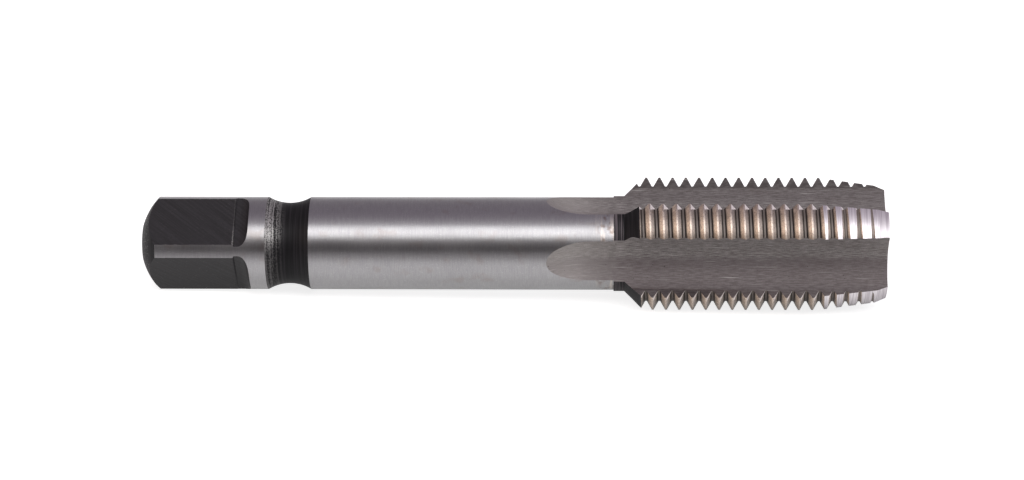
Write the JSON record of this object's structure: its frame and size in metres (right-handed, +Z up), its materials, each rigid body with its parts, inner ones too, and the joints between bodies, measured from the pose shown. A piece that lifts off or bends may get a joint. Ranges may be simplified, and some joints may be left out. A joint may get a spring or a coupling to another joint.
{
  "type": "thread tap",
  "caption": "Hand tap for cutting an internal metric fine thread: straight flutes, a chamfered cutting end, a plain shank with a neck, and a driving square.",
  "frame": {"origin": "centre of the tap's footprint, on the surface that it lies on", "axes": "+X along the tap towards its cutting end, within the 1.4 degrees by which the thinner shank tips it down; +Z up; the tap lies on the edges of two lands and on one corner of its square"},
  "size_m": [0.1122, 0.0176, 0.0182],
  "materials": {
    "tool_steel": "ground high speed steel: satin shank, thread and flutes, black oxide left on the square, the neck, the domed end and the cone behind the thread"
  },
  "bodies": {
    "root": {"tap": "tool_steel"}
  },
  "joints": []
}
